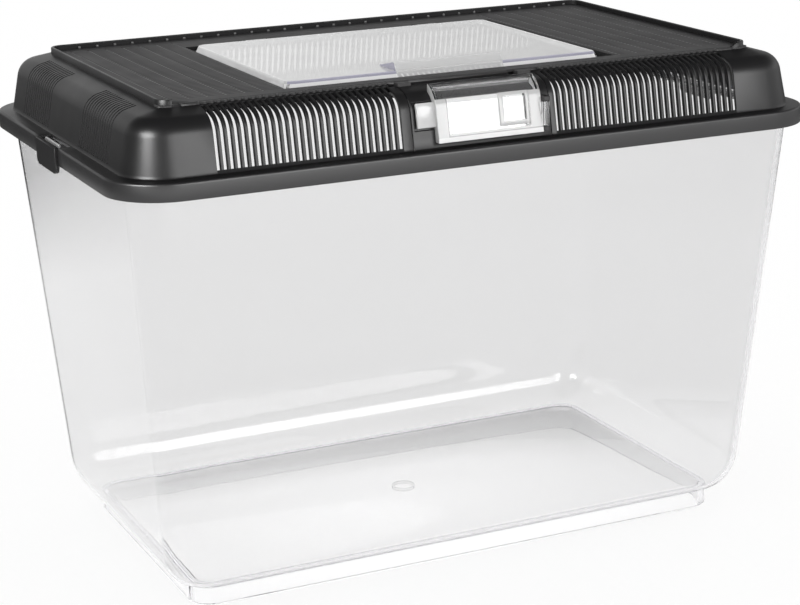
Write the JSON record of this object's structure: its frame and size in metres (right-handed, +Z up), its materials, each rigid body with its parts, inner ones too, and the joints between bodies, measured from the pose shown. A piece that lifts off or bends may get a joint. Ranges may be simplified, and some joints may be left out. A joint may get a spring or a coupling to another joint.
{
  "type": "plastic pet keeper",
  "caption": "Clear tapered plastic tank with a black domed, slotted lid that lifts off, a hinged top window, a hinged front feeding door and snap latches.",
  "frame": {"origin": "centre of the foot, on the surface the keeper stands on", "axes": "+X along the long side, +Y from the front to the back, +Z up"},
  "size_m": [0.4636, 0.29, 0.319],
  "materials": {
    "clear_tank": "clear polished plastic",
    "black_lid": "black satin moulded plastic",
    "black_panel": "black satin moulded plastic",
    "clear_door": "clear polished plastic",
    "frosted_window": "milky clear plastic",
    "black_latch": "black satin moulded plastic"
  },
  "bodies": {
    "tank": {"tank": "clear_tank"},
    "lid": {"lid": "black_lid", "front_panel": "black_panel"},
    "top_window": {"top_window": "frosted_window"},
    "feeding_door": {"feeding_door": "clear_door"},
    "snap_latch_left": {"snap_latch_left": "black_latch"},
    "snap_latch_right": {"snap_latch_right": "black_latch"}
  },
  "joints": [
    {"name": "lid_lift", "type": "slide", "parent": "tank", "child": "lid", "axis": [0, 0, 1], "range_m": [0, 0.12]},
    {"name": "window_hinge", "type": "hinge", "parent": "lid", "child": "top_window", "pos_m": [-0.00575, 0.0683, 0.3114], "axis": [-1, 0, 0], "range_deg": [0, 105]},
    {"name": "door_hinge", "type": "hinge", "parent": "lid", "child": "feeding_door", "pos_m": [0.0354, -0.1381, 0.29], "axis": [0, 0, 1], "range_deg": [0, 100]},
    {"name": "latch_left_flex", "type": "hinge", "parent": "lid", "child": "snap_latch_left", "pos_m": [-0.2282, 0, 0.2712], "axis": [0, 1, 0], "range_deg": [0, 10], "stiffness_Nm_per_rad": 0.6},
    {"name": "latch_right_flex", "type": "hinge", "parent": "lid", "child": "snap_latch_right", "pos_m": [0.2282, 0, 0.2712], "axis": [0, -1, 0], "range_deg": [0, 10], "stiffness_Nm_per_rad": 0.6}
  ]
}
